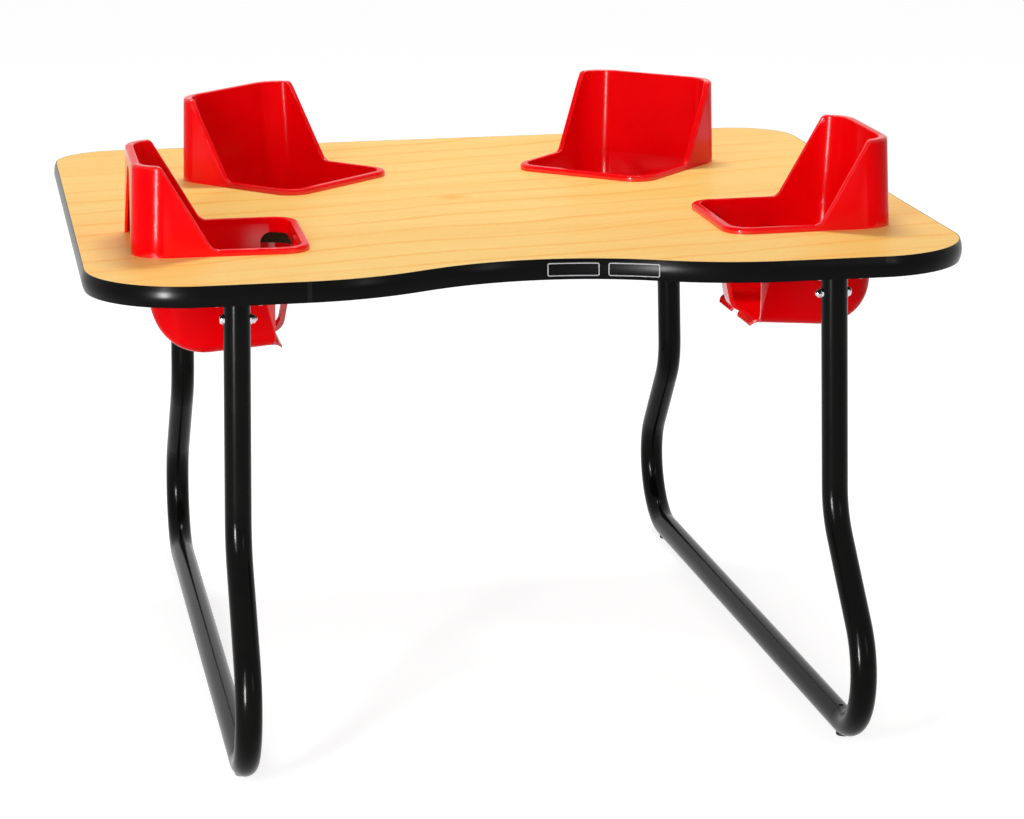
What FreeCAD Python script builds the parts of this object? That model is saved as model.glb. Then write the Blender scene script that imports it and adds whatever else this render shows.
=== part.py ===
import FreeCAD, Part
import math
import os

from FreeCAD import Placement, Rotation, Vector

# Group-care feeding table: a laminated top with four moulded bucket seats let into it, carried by
# two bent-tube leg frames. Millimetres. +Z is up, X runs along the table, -Y is the side with the
# bay where the adult sits. The origin is on the floor, under the middle of the leg frames.

# ---------------------------------------------------------------- driving dimensions

# table top
TABLE_HEIGHT = 714.0            # floor to the upper face of the laminate
TOP_THICKNESS = 30.0            # core board with both laminates
FACE_LAMINATE = 1.2             # decorative laminate on the upper face
BACKING_LAMINATE = 0.8          # balancing sheet on the underside
FRONT_WIDTH = 1270.0            # between the side edges, on the line of the front edge
BACK_WIDTH = 1224.0             # between the side edges, on the line of the back edge
FRONT_EDGE_Y = -560.0           # straight front edge, either side of the bay
BACK_EDGE_Y = 548.0
FRONT_CORNER_RADIUS = 147.0
BACK_CORNER_RADIUS = 100.0
BAY_DEPTH = 83.0                # the bay is an S-curve of four equal arcs
BAY_HALF_WIDTH = 340.0

# edge band: a T-moulding whose tongue is pressed into a groove in the core
BAND_EDGE_PROUD = 1.2           # how far the moulding stands out at its two long edges
BAND_CROWN_PROUD = 4.5          # and at its crown
BAND_TONGUE_DEPTH = 9.0
BAND_TONGUE_THICKNESS = 2.6
TONGUE_CLEARANCE = 0.1          # groove wall to tongue, each side
GROOVE_END_CLEARANCE = 1.0

# two blank information plates on the crown of the band, in the bay
PLATE_LENGTH = 76.0
PLATE_HEIGHT = 21.5
PLATE_THICKNESS = 0.5
PLATE_CORNER_RADIUS = 4.0
PLATE_CENTRES_X = (51.5, 136.0)
PLATE_BORDER = 1.6              # width of the raised border
PLATE_BORDER_INSET = 1.2        # border to the plate's edge
PLATE_BORDER_PROUD = 0.25
PLATE_ADHESIVE = 0.15           # adhesive between plate and moulding

# moulded bucket seats
SEAT_LENGTH = 256.0             # outside of the rim, front to back, where it meets the table
SEAT_WIDTH = 243.5
SEAT_FRONT_CORNER_RADIUS = 38.0
SEAT_REAR_CORNER_RADIUS = 46.0
SEAT_WALL = 4.0
PARTING_STEP = 0.5              # fine step round the inside where the bucket meets the rim
BACK_HEIGHT = 131.0             # top of the seat back above the table
RIM_HEIGHT = 8.8                # low rim round the front
REAR_LEAN_DEG = 2.1             # the rear face leans in as it rises; the sides are upright
WING_TOP_REACH = 44.0           # seat's rear face to where the wing starts to fall
WING_FOOT_REACH = 115.0         # seat's rear face to where the wing meets the low rim
WING_TOP_RADIUS = 9.0
WING_FOOT_RADIUS = 17.0
RIM_OUTER_ROUND = 4.0
RIM_INNER_ROUND = 2.0
RIM_BAND_SIDE = 10.0            # rim's outside face to the mouth of the bucket
RIM_BAND_FRONT = 13.0
RIM_BAND_BACK = 25.0            # at the table; the inside of the back slopes away as it rises
BACK_TOP_THICKNESS = 12.0       # skin to skin, at the top of the back
MOUTH_FRONT_CORNER_RADIUS = 30.0
MOUTH_REAR_CORNER_RADIUS = 40.0
BUCKET_DEPTH = 152.0            # table surface to the underside of the seat pan
BUCKET_SIDE_DRAFT = 7.0         # each side wall moves in by this much, table to pan
PAN_RISE = 15.0                 # pan climbs by this much towards the front
BUCKET_BACK_RADIUS = 74.0       # sweep of the back wall into the pan
BUCKET_FRONT_RADIUS = 20.0
BUCKET_FRONT_RAKE = 26.0        # front wall moves back by this much, top to bottom
PAN_EDGE_RADIUS = 18.0
LEG_HOLE_REACH = 54.0           # rim's front face back to the rear edge of the leg hole
LEG_HOLE_TOP = 13.0             # table surface down to the top of the leg hole
LEG_HOLE_RADIUS = 16.0
CROTCH_POST_WIDTH = 28.0
CROTCH_POST_THICKNESS = 6.0
THIGH_LIP_REACH = 10.0          # rolled lip below each leg hole
THIGH_LIP_DROP = 7.0
THIGH_LIP_OUTER_RADIUS = 16.0
THIGH_LIP_INNER_RADIUS = 9.0
REAR_ARCH_HEIGHT = 112.0        # opening in the outer skin behind the seat back
REAR_ARCH_FOOT_WIDTH = 168.0
REAR_ARCH_CROWN_WIDTH = 40.0
REAR_ARCH_RADIUS = 18.0
CUTOUT_CLEARANCE = 1.0          # bucket to the edge of its cut-out in the top
SNAP_LUG_PROUD = 3.0            # lugs under the board that hold the seat down
SNAP_LUG_LENGTH = 26.0
SNAP_LUG_HEIGHT = 11.0
SNAP_LUG_CLEARANCE = 0.3
SIDE_SEAT_X = 429.0             # side seats face each other, turned a little to the front
SIDE_SEAT_Y = -241.0
SIDE_SEAT_TURN_DEG = 1.5
BACK_SEAT_X = 270.3             # back seats face the middle of the bay
BACK_SEAT_Y = 245.0
BACK_SEAT_TURN_DEG = 42.0       # from straight ahead towards the middle plane

# leg frames: one bent tube each
TUBE_DIAMETER = 38.1
TUBE_WALL = 1.8
FRAME_HALF_SPACING = 418.5      # middle of the table to the frame, at the underside of the top
FRAME_SPLAY_DEG = 1.0           # frames lean out towards the floor
FRAME_TOE_DEG = 1.1             # frames stand wider apart at the front
UPRIGHT_HALF_SPACING = 498.0
FOOT_HALF_REACH = 642.0         # outermost point of the tube's centreline
SLANT_ANGLE_DEG = 41.5          # middle leg of the S-bend, from the vertical
BEND_RADIUS = 101.6
TUBE_END_CLEARANCE = 0.2        # end of the upright to the socket plate
DRAIN_HOLE_RADIUS = 4.0
DRAIN_HOLE_SETBACK = 12.0       # from the end of the bend, along the floor bar

# sockets under the top, one per upright
SOCKET_PLATE_SIDE = 82.0
SOCKET_PLATE_THICKNESS = 4.0
SOCKET_PLATE_CORNER_RADIUS = 10.0
SOCKET_STUB_LENGTH = 62.0
SOCKET_STUB_WALL = 2.0
SOCKET_FIT = 0.15               # radial, stub inside the leg tube
SOCKET_SCREW_SPACING = 60.0

# wood screws that hold the sockets
WOOD_SCREW_RADIUS = 2.4
WOOD_SCREW_LENGTH = 20.0
WOOD_SCREW_HEAD_RADIUS = 4.6
WOOD_SCREW_HEAD_HEIGHT = 3.0
SCREW_FIT = 0.06                # radial, every screw and bolt in its hole

# cross bolts: one through each upright and its socket stub
BOLT_RADIUS = 3.2
BOLT_BELOW_TOP = 62.0           # table surface down to the bolt's axis
BOLT_HEAD_RADIUS = 6.6
BOLT_HEAD_HEIGHT = 4.2
BOLT_HEAD_ROUND = 3.4
WASHER_RADIUS = 7.6
WASHER_THICKNESS = 1.3
CAP_NUT_FLATS = 11.1
CAP_NUT_HEX_HEIGHT = 5.0
CAP_NUT_DOME_RADIUS = 4.9
CAP_NUT_HEIGHT = 8.2
CAP_NUT_CHAMFER = 0.7

# floor glides under the bars
GLIDE_RADIUS = 11.0
GLIDE_PROUD = 3.0               # below the tube
GLIDE_EDGE_ROUND = 1.5
GLIDE_STEM_RADIUS = 3.0
GLIDE_STEM_LENGTH = 8.0
SADDLE_FIT = 0.05               # radial, glides and washers to the tube they sit on

# ---------------------------------------------------------------- derived dimensions

UNDERSIDE_Z = TABLE_HEIGHT - TOP_THICKNESS
CORE_TOP_Z = TABLE_HEIGHT - FACE_LAMINATE
CORE_BOTTOM_Z = UNDERSIDE_Z + BACKING_LAMINATE
BAND_MID_Z = TABLE_HEIGHT - TOP_THICKNESS / 2
TUBE_RADIUS = TUBE_DIAMETER / 2
TUBE_BORE = TUBE_RADIUS - TUBE_WALL
BAR_Z = GLIDE_PROUD + TUBE_RADIUS
STUB_RADIUS = TUBE_BORE - SOCKET_FIT
SOCKET_PLATE_Z = UNDERSIDE_Z - SOCKET_PLATE_THICKNESS
BOLT_Z = TABLE_HEIGHT - BOLT_BELOW_TOP
GRIP_HALF = TUBE_RADIUS + WASHER_THICKNESS
TUBE_SAG_AT_WASHER = TUBE_RADIUS - math.sqrt(TUBE_RADIUS ** 2 - WASHER_RADIUS ** 2)
SEAT_REAR_U = -SEAT_LENGTH / 2
SEAT_FRONT_U = SEAT_LENGTH / 2
OVERRUN = 5.0                   # how far a cutting tool runs past what it cuts

UP = Vector(0, 0, 1)
ALONG_X = Vector(1, 0, 0)
ALONG_Y = Vector(0, 1, 0)


# ---------------------------------------------------------------- shape helpers

def polar(centre, radius, angle_deg):
    angle = math.radians(angle_deg)
    return centre + Vector(radius * math.cos(angle), radius * math.sin(angle), 0)


def rounded_wire(points, radii):
    """Closed wire through the corner points, each corner rounded with its radius."""
    tangents = []
    count = len(points)
    for index, corner in enumerate(points):
        before = (points[index - 1] - corner).normalize()
        after = (points[(index + 1) % count] - corner).normalize()
        half_angle = before.getAngle(after) / 2
        setback = radii[index] / math.tan(half_angle)
        bisector = (before + after).normalize()
        reach = radii[index] / math.sin(half_angle) - radii[index]
        tangents.append((corner + before * setback, corner + bisector * reach, corner + after * setback))
    edges = []
    for index, (arc_start, arc_middle, arc_end) in enumerate(tangents):
        edges.append(Part.Arc(arc_start, arc_middle, arc_end).toShape())
        next_start = tangents[(index + 1) % count][0]
        if (next_start - arc_end).Length > 1e-6:
            edges.append(Part.LineSegment(arc_end, next_start).toShape())
    return Part.Wire(edges)


def rounded_rectangle(low, high, radius, z):
    """Rounded rectangle between two opposite (x, y) corners, at height z."""
    corners = [Vector(low[0], low[1], z), Vector(high[0], low[1], z),
               Vector(high[0], high[1], z), Vector(low[0], high[1], z)]
    return rounded_wire(corners, [radius] * len(corners))


def seat_plan(low, high, rear_radius, front_radius, z):
    """Plan of a seat at height z, between two opposite (u, v) corners, the rear one first."""
    corners = [Vector(low[0], low[1], z), Vector(high[0], low[1], z),
               Vector(high[0], high[1], z), Vector(low[0], high[1], z)]
    return rounded_wire(corners, [rear_radius, front_radius, front_radius, rear_radius])


def prism(wire, direction):
    return Part.Face(wire).extrude(direction)


def fuse_all(shapes):
    return shapes[0].multiFuse(shapes[1:]).removeSplitter()


def cylinder(radius, length, base, axis):
    return Part.makeCylinder(radius, length, base, axis)


def mirrored(shape):
    """The same shape on the other side of the table's middle plane."""
    return shape.mirror(Vector(0, 0, 0), ALONG_X)


def export(name, shape):
    shape.exportStep(os.path.join("parts", name + ".step"))


# ---------------------------------------------------------------- table top

def bay_radius():
    """Radius of the arcs of the bay's S-curve."""
    quarter = BAY_HALF_WIDTH / 2
    return (quarter ** 2 + (BAY_DEPTH / 2) ** 2) / BAY_DEPTH


def side_edge_direction():
    return Vector((BACK_WIDTH - FRONT_WIDTH) / 2, BACK_EDGE_Y - FRONT_EDGE_Y, 0).normalize()


def corner_arc(corner, toward_start, toward_end, radius):
    half_angle = toward_start.getAngle(toward_end) / 2
    setback = radius / math.tan(half_angle)
    middle = corner + (toward_start + toward_end).normalize() * (radius / math.sin(half_angle) - radius)
    return corner + toward_start * setback, middle, corner + toward_end * setback


def right_half_of_outline(offset, z):
    """Edges of the outline from the middle of the bay round to the middle of the back edge."""
    # an offset leaves the centres of the arcs where they are; the hollow's centre is outside
    # the board, so an outward offset makes its radius smaller and the shoulders' larger
    bay_angle = math.degrees(math.asin(BAY_HALF_WIDTH / 2 / bay_radius()))
    hollow_centre = Vector(0, FRONT_EDGE_Y + BAY_DEPTH - bay_radius(), z)
    shoulder_centre = Vector(BAY_HALF_WIDTH, FRONT_EDGE_Y + bay_radius(), z)
    hollow_radius = bay_radius() - offset
    shoulder_radius = bay_radius() + offset
    bay_middle = polar(hollow_centre, hollow_radius, 90)
    hollow_mid = polar(hollow_centre, hollow_radius, 90 - bay_angle / 2)
    inflection = polar(hollow_centre, hollow_radius, 90 - bay_angle)
    shoulder_mid = polar(shoulder_centre, shoulder_radius, 270 - bay_angle / 2)
    bay_end = polar(shoulder_centre, shoulder_radius, 270)

    side = side_edge_direction()
    outward = Vector(side.y, -side.x, 0)
    front_y = FRONT_EDGE_Y - offset
    back_y = BACK_EDGE_Y + offset
    on_side = Vector(FRONT_WIDTH / 2, FRONT_EDGE_Y, z) + outward * offset
    front_corner = on_side + side * ((front_y - on_side.y) / side.y)
    back_corner = on_side + side * ((back_y - on_side.y) / side.y)
    front_arc = corner_arc(front_corner, -ALONG_X, side, FRONT_CORNER_RADIUS + offset)
    back_arc = corner_arc(back_corner, -side, -ALONG_X, BACK_CORNER_RADIUS + offset)
    back_middle = Vector(0, back_y, z)
    return [
        Part.Arc(bay_middle, hollow_mid, inflection).toShape(),
        Part.Arc(inflection, shoulder_mid, bay_end).toShape(),
        Part.LineSegment(bay_end, front_arc[0]).toShape(),
        Part.Arc(*front_arc).toShape(),
        Part.LineSegment(front_arc[2], back_arc[0]).toShape(),
        Part.Arc(*back_arc).toShape(),
        Part.LineSegment(back_arc[2], back_middle).toShape(),
    ]


def outline_wire(offset, z):
    right = right_half_of_outline(offset, z)
    left = [mirrored(edge) for edge in right]
    return Part.Wire(Part.__sortEdges__(right + left))


def slab(offset, low_z, high_z):
    return prism(outline_wire(offset, low_z), UP * (high_z - low_z))


def ring(outer_offset, inner_offset, low_z, high_z):
    return slab(outer_offset, low_z, high_z).cut(slab(inner_offset, low_z - OVERRUN, high_z + OVERRUN))


def bay_edge_y(x):
    """Y of the board's edge in the hollow of the bay."""
    return FRONT_EDGE_Y + BAY_DEPTH - bay_radius() + math.sqrt(bay_radius() ** 2 - x ** 2)


def band_solid(extra):
    """Crowned strip round the outline; extra thickens it, to lay the plates on it."""
    spine = outline_wire(0, BAND_MID_Z)
    start = spine.Vertexes[0].Point
    edge = min(spine.Edges, key=lambda item: item.distToShape(Part.Vertex(start))[0])
    tangent = edge.tangentAt(edge.FirstParameter)
    section_normal = Vector(tangent.y, -tangent.x, 0)
    probe = start + section_normal
    if Part.Face(spine).isInside(probe, 1e-3, True):
        section_normal = -section_normal
    half = TOP_THICKNESS / 2
    inner = [start + UP * half, start - UP * half]
    outer = [start + section_normal * (BAND_EDGE_PROUD + extra) + UP * z for z in (-half, half)]
    crown = start + section_normal * (BAND_CROWN_PROUD + extra)
    profile = Part.Wire([
        Part.LineSegment(inner[0], inner[1]).toShape(),
        Part.LineSegment(inner[1], outer[0]).toShape(),
        Part.Arc(outer[0], crown, outer[1]).toShape(),
        Part.LineSegment(outer[1], inner[0]).toShape(),
    ])
    return spine.makePipeShell([profile], True, False, 2)


def seat_places():
    """Name and placement of each seat: +X of the seat looks forward, its origin is on the table."""
    places = {}
    for side, sign in (("left", -1), ("right", 1)):
        side_turn = 90 + sign * (90 + SIDE_SEAT_TURN_DEG)
        back_turn = -90 - sign * BACK_SEAT_TURN_DEG
        places["seat_side_" + side] = Placement(
            Vector(sign * SIDE_SEAT_X, SIDE_SEAT_Y, TABLE_HEIGHT), Rotation(UP, side_turn))
        places["seat_back_" + side] = Placement(
            Vector(sign * BACK_SEAT_X, BACK_SEAT_Y, TABLE_HEIGHT), Rotation(UP, back_turn))
    return places


def cutout_tools():
    wire = bucket_plan(SEAT_WALL + CUTOUT_CLEARANCE, 0, 0).translated(UP * OVERRUN)
    tool = prism(wire, -UP * (TOP_THICKNESS + 2 * OVERRUN))
    return [tool.transformed(place.toMatrix()) for place in seat_places().values()]


def make_core_board(screw_holes):
    groove_half = BAND_TONGUE_THICKNESS / 2 + TONGUE_CLEARANCE
    groove = ring(OVERRUN, -BAND_TONGUE_DEPTH - GROOVE_END_CLEARANCE,
                  BAND_MID_Z - groove_half, BAND_MID_Z + groove_half)
    return slab(0, CORE_BOTTOM_Z, CORE_TOP_Z).cut([groove] + cutout_tools() + screw_holes)


def make_top_laminate():
    return slab(0, CORE_TOP_Z, TABLE_HEIGHT).cut(cutout_tools())


def make_backing_sheet(screw_holes):
    return slab(0, UNDERSIDE_Z, CORE_BOTTOM_Z).cut(cutout_tools() + screw_holes)


def make_edge_band():
    half_tongue = BAND_TONGUE_THICKNESS / 2
    tongue = ring(BAND_EDGE_PROUD / 2, -BAND_TONGUE_DEPTH,
                  BAND_MID_Z - half_tongue, BAND_MID_Z + half_tongue)
    return band_solid(0).fuse(tongue).removeSplitter()


def plate_blank(inset, depth):
    """Rounded block, square to the band at the plate's centre, that a plate is cut from."""
    half_length = PLATE_LENGTH / 2 - inset
    half_height = PLATE_HEIGHT / 2 - inset
    radius = PLATE_CORNER_RADIUS - inset
    corners = [Vector(sx * half_length, -depth / 2, sz * half_height)
               for sx, sz in ((-1, -1), (1, -1), (1, 1), (-1, 1))]
    return prism(rounded_wire(corners, [radius] * len(corners)), ALONG_Y * depth)


def make_information_plate(centre_x):
    tangent_deg = -math.degrees(math.asin(centre_x / bay_radius()))
    place = Placement(Vector(centre_x, bay_edge_y(centre_x), BAND_MID_Z), Rotation(UP, tangent_deg))
    depth = PLATE_LENGTH / 2
    inside_border = plate_blank(PLATE_BORDER_INSET + PLATE_BORDER, 2 * depth)
    border = plate_blank(PLATE_BORDER_INSET, depth).cut(inside_border)
    face = PLATE_ADHESIVE + PLATE_THICKNESS
    plate = band_solid(face).common(plate_blank(0, depth).transformed(place.toMatrix()))
    raised = band_solid(face + PLATE_BORDER_PROUD).common(border.transformed(place.toMatrix()))
    return plate.fuse(raised).cut(band_solid(PLATE_ADHESIVE)).removeSplitter()


# ---------------------------------------------------------------- moulded seats
# Seat frame: x forward, y across, z up from the table surface, origin in the middle of the rim.

def mouth_rear_u():
    return bucket_rear_u(0)


def bucket_rear_u(z):
    """Inside of the back at height z above the table; one slope from the pan to the top."""
    top_band = BACK_TOP_THICKNESS + rear_lean(BACK_HEIGHT)
    return SEAT_REAR_U + RIM_BAND_BACK - (RIM_BAND_BACK - top_band) * z / BACK_HEIGHT


def mouth_front_u():
    return SEAT_FRONT_U - RIM_BAND_FRONT


def mouth_half_width():
    return SEAT_WIDTH / 2 - RIM_BAND_SIDE


def bucket_plan(grow, z, draft):
    """Plan of the bucket at height z, grown by grow; each side wall leans out by draft."""
    half_width = mouth_half_width() + grow + draft
    low = (bucket_rear_u(z) - grow, -half_width)
    high = (mouth_front_u() + grow, half_width)
    return seat_plan(low, high, MOUTH_REAR_CORNER_RADIUS + grow, MOUTH_FRONT_CORNER_RADIUS + grow, z)


def rear_lean(z):
    """How far the rear face has moved forward at height z above the table."""
    return z * math.tan(math.radians(REAR_LEAN_DEG))


def rim_profile(inset):
    """Side view of rim, wing and back, moved inward by inset."""
    wing_foot = Vector(SEAT_REAR_U + WING_FOOT_REACH, 0, RIM_HEIGHT)
    wing_top = Vector(SEAT_REAR_U + WING_TOP_REACH, 0, BACK_HEIGHT)
    fall = (wing_foot - wing_top).normalize()
    inward = Vector(fall.z, 0, -fall.x)
    on_line = wing_top + inward * inset
    foot_z = RIM_HEIGHT - inset
    top_z = BACK_HEIGHT - inset
    foot = on_line + fall * ((foot_z - on_line.z) / fall.z)
    top = on_line + fall * ((top_z - on_line.z) / fall.z)
    front_u = SEAT_FRONT_U + OVERRUN
    rear_u = SEAT_REAR_U - OVERRUN
    side = -SEAT_WIDTH
    corners = [Vector(front_u, side, foot_z), Vector(foot.x, side, foot_z), Vector(top.x, side, top_z),
               Vector(rear_u, side, top_z)]
    foot_round = corner_arc(corners[1], (corners[0] - corners[1]).normalize(),
                            (corners[2] - corners[1]).normalize(), WING_FOOT_RADIUS + inset)
    top_round = corner_arc(corners[2], (corners[1] - corners[2]).normalize(),
                           (corners[3] - corners[2]).normalize(), WING_TOP_RADIUS - inset)
    low_front = Vector(front_u, side, 0)
    low_rear = Vector(rear_u, side, 0)
    wire = Part.Wire([
        Part.LineSegment(low_rear, low_front).toShape(),
        Part.LineSegment(low_front, corners[0]).toShape(),
        Part.LineSegment(corners[0], foot_round[0]).toShape(),
        Part.Arc(*foot_round).toShape(),
        Part.LineSegment(foot_round[2], top_round[0]).toShape(),
        Part.Arc(*top_round).toShape(),
        Part.LineSegment(top_round[2], corners[3]).toShape(),
        Part.LineSegment(corners[3], low_rear).toShape(),
    ])
    return prism(wire, ALONG_Y * (2 * SEAT_WIDTH))


def outer_envelope(inset):
    """Everything inside the outer skin, above the table, moved inward by inset."""
    def section(z):
        low = (SEAT_REAR_U + inset + rear_lean(z), -SEAT_WIDTH / 2 + inset)
        high = (SEAT_FRONT_U - inset, SEAT_WIDTH / 2 - inset)
        return seat_plan(low, high, SEAT_REAR_CORNER_RADIUS - inset, SEAT_FRONT_CORNER_RADIUS - inset, z)
    tower = Part.makeLoft([section(0), section(BACK_HEIGHT + OVERRUN)], True, True)
    return tower.common(rim_profile(inset))


def bucket_profile(grow):
    """Side view of the space inside the bucket, grown outward by grow."""
    front_u = mouth_front_u() + grow
    floor_z = -BUCKET_DEPTH + SEAT_WALL - grow
    top_z = BACK_HEIGHT + 2 * OVERRUN
    side = -SEAT_WIDTH
    toe_u = front_u - BUCKET_FRONT_RAKE
    corners = [Vector(bucket_rear_u(top_z) - grow, side, top_z),
               Vector(bucket_rear_u(floor_z) - grow, side, floor_z),
               Vector(toe_u, side, floor_z + PAN_RISE), Vector(front_u, side, 0),
               Vector(front_u, side, top_z)]
    back_sweep = corner_arc(corners[1], (corners[0] - corners[1]).normalize(),
                            (corners[2] - corners[1]).normalize(), BUCKET_BACK_RADIUS + grow)
    front_sweep = corner_arc(corners[2], (corners[1] - corners[2]).normalize(),
                             (corners[3] - corners[2]).normalize(), BUCKET_FRONT_RADIUS + grow)
    wire = Part.Wire([
        Part.LineSegment(corners[0], back_sweep[0]).toShape(),
        Part.Arc(*back_sweep).toShape(),
        Part.LineSegment(back_sweep[2], front_sweep[0]).toShape(),
        Part.Arc(*front_sweep).toShape(),
        Part.LineSegment(front_sweep[2], corners[3]).toShape(),
        Part.LineSegment(corners[3], corners[4]).toShape(),
        Part.LineSegment(corners[4], corners[0]).toShape(),
    ])
    return prism(wire, ALONG_Y * (2 * SEAT_WIDTH))


def bucket_space(grow):
    """The space inside the bucket below the table, grown outward by grow; it runs on above."""
    low_z = -BUCKET_DEPTH - 2 * OVERRUN
    high_z = BACK_HEIGHT + OVERRUN
    slope = BUCKET_SIDE_DRAFT / BUCKET_DEPTH
    drafted = [bucket_plan(grow, z, z * slope) for z in (low_z, high_z)]
    space = Part.makeLoft(drafted, True, True).common(bucket_profile(grow))
    pan_edges = [edge for edge in space.Edges if is_pan_side_edge(edge)]
    return space.makeFillet(PAN_EDGE_RADIUS + grow, pan_edges)


def back_space(grow):
    """The space between the wings, from the table up past the back; its side walls are upright."""
    plans = [bucket_plan(grow + PARTING_STEP, z, 0) for z in (0, BACK_HEIGHT + OVERRUN)]
    return Part.makeLoft(plans, True, True)


def is_pan_side_edge(edge):
    """Edges between the pan and a side wall: low, and well off the middle on one side."""
    box = edge.BoundBox
    below = box.ZMax < -BUCKET_DEPTH / 3
    one_side = box.YMin > mouth_half_width() / 2 or box.YMax < -mouth_half_width() / 2
    return below and one_side


def leg_hole_tools():
    """Openings either side of the crotch post, through the front and the sides."""
    hole_rear = SEAT_FRONT_U - LEG_HOLE_REACH
    past_front = SEAT_FRONT_U + OVERRUN
    below = -BUCKET_DEPTH - BUCKET_DEPTH
    tools = []
    for side in (-1, 1):
        start = side * CROTCH_POST_WIDTH / 2
        corners = [Vector(hole_rear, start, below), Vector(past_front, start, below),
                   Vector(past_front, start, -LEG_HOLE_TOP), Vector(hole_rear, start, -LEG_HOLE_TOP)]
        radii = [SEAT_WALL, SEAT_WALL, SEAT_WALL, LEG_HOLE_RADIUS]
        tools.append(prism(rounded_wire(corners, radii), ALONG_Y * (side * SEAT_WIDTH)))
    return tools


def thigh_lips():
    """Front edge of the pan below each leg hole, rolled down so that it is kind to the thigh."""
    hole_rear = SEAT_FRONT_U - LEG_HOLE_REACH
    slope = PAN_RISE / (mouth_front_u() - BUCKET_FRONT_RAKE - mouth_rear_u())
    under_z = -BUCKET_DEPTH + slope * (hole_rear - mouth_rear_u())
    start = hole_rear - SEAT_WALL
    start_z = under_z - slope * SEAT_WALL
    tip = Vector(hole_rear + THIGH_LIP_REACH, 0, under_z - THIGH_LIP_DROP)
    top_tip = tip + Vector(SEAT_WALL / 2, 0, SEAT_WALL / 2)
    half_width = mouth_half_width() - PAN_EDGE_RADIUS
    post_half = CROTCH_POST_WIDTH / 2
    tongue_radii = [SEAT_WALL, THIGH_LIP_INNER_RADIUS, THIGH_LIP_OUTER_RADIUS, SEAT_WALL]
    lips = []
    for side in (-1, 1):
        shift = Vector(0, side * post_half, 0)
        low_start = Vector(start, 0, start_z) + shift
        high_start = Vector(start, 0, start_z + SEAT_WALL) + shift
        low_middle = Vector(hole_rear + THIGH_LIP_REACH / 2, 0, under_z - THIGH_LIP_DROP / 4) + shift
        high_middle = low_middle + Vector(SEAT_WALL / 4, 0, SEAT_WALL)
        wire = Part.Wire([
            Part.LineSegment(low_start, high_start).toShape(),
            Part.Arc(high_start, high_middle, top_tip + shift).toShape(),
            Part.LineSegment(top_tip + shift, tip + shift).toShape(),
            Part.Arc(tip + shift, low_middle, low_start).toShape(),
        ])
        lip = prism(wire, ALONG_Y * (side * (half_width - post_half)))
        corners = [Vector(start - OVERRUN, side * post_half, -2 * BUCKET_DEPTH),
                   Vector(top_tip.x, side * post_half, -2 * BUCKET_DEPTH),
                   Vector(top_tip.x, side * half_width, -2 * BUCKET_DEPTH),
                   Vector(start - OVERRUN, side * half_width, -2 * BUCKET_DEPTH)]
        lips.append(lip.common(prism(rounded_wire(corners, tongue_radii), UP * (2 * BUCKET_DEPTH))))
    return lips


def crotch_post():
    """Thickened strip of the front wall between the leg holes."""
    hole_rear = SEAT_FRONT_U - LEG_HOLE_REACH
    start = Vector(hole_rear, -CROTCH_POST_WIDTH / 2, -2 * BUCKET_DEPTH)
    strip = Part.makeBox(SEAT_LENGTH, CROTCH_POST_WIDTH, 2 * BUCKET_DEPTH, start)
    return bucket_space(SEAT_WALL).cut(bucket_space(SEAT_WALL - CROTCH_POST_THICKNESS)).common(strip)


def rear_arch_tool():
    start = SEAT_REAR_U - OVERRUN
    skin_u = SEAT_REAR_U + rear_lean(REAR_ARCH_HEIGHT)
    through = (skin_u + bucket_rear_u(REAR_ARCH_HEIGHT)) / 2 - start
    foot = REAR_ARCH_FOOT_WIDTH / 2
    crown = REAR_ARCH_CROWN_WIDTH / 2
    corners = [Vector(start, -foot, -OVERRUN), Vector(start, foot, -OVERRUN),
               Vector(start, crown, REAR_ARCH_HEIGHT), Vector(start, -crown, REAR_ARCH_HEIGHT)]
    wire = rounded_wire(corners, [SEAT_WALL, SEAT_WALL, REAR_ARCH_RADIUS, REAR_ARCH_RADIUS])
    return prism(wire, ALONG_X * through)


def snap_lugs():
    """Wedges outside the side walls that catch under the board."""
    lug_top = -TOP_THICKNESS - SNAP_LUG_CLEARANCE
    wall = mouth_half_width() + SEAT_WALL - TOP_THICKNESS * BUCKET_SIDE_DRAFT / BUCKET_DEPTH
    root = wall - SEAT_WALL / 2
    tip = wall + SNAP_LUG_PROUD
    lugs = []
    for side in (-1, 1):
        for centre_u in (mouth_rear_u() / 2, mouth_front_u() / 3):
            start = centre_u - SNAP_LUG_LENGTH / 2
            points = [Vector(start, side * root, lug_top), Vector(start, side * tip, lug_top),
                      Vector(start, side * root, lug_top - SNAP_LUG_HEIGHT)]
            wire = Part.makePolygon(points + [points[0]])
            lugs.append(prism(wire, ALONG_X * SNAP_LUG_LENGTH))
    return lugs


def make_seat():
    space = bucket_space(0)
    under_table = Part.makeBox(2 * SEAT_LENGTH, 2 * SEAT_WIDTH, 2 * BUCKET_DEPTH,
                               Vector(-SEAT_LENGTH, -SEAT_WIDTH, -2 * BUCKET_DEPTH))
    envelope = outer_envelope(0)
    top_edges = [edge for edge in envelope.Edges if edge.BoundBox.ZMin > RIM_HEIGHT / 2]
    envelope = envelope.makeFillet(RIM_OUTER_ROUND, top_edges)
    pocket = outer_envelope(SEAT_WALL).cut(back_space(SEAT_WALL))
    upper = envelope.cut(back_space(0))
    mouth_edges = [edge for edge in upper.Edges if is_mouth_edge(edge)]
    upper = upper.makeFillet(RIM_INNER_ROUND, mouth_edges).cut(pocket).cut(rear_arch_tool())
    lower = bucket_space(SEAT_WALL).common(under_table).cut(space).cut(leg_hole_tools())
    shell = upper.multiFuse([lower, crotch_post()] + thigh_lips() + snap_lugs())
    return shell.removeSplitter()


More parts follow.
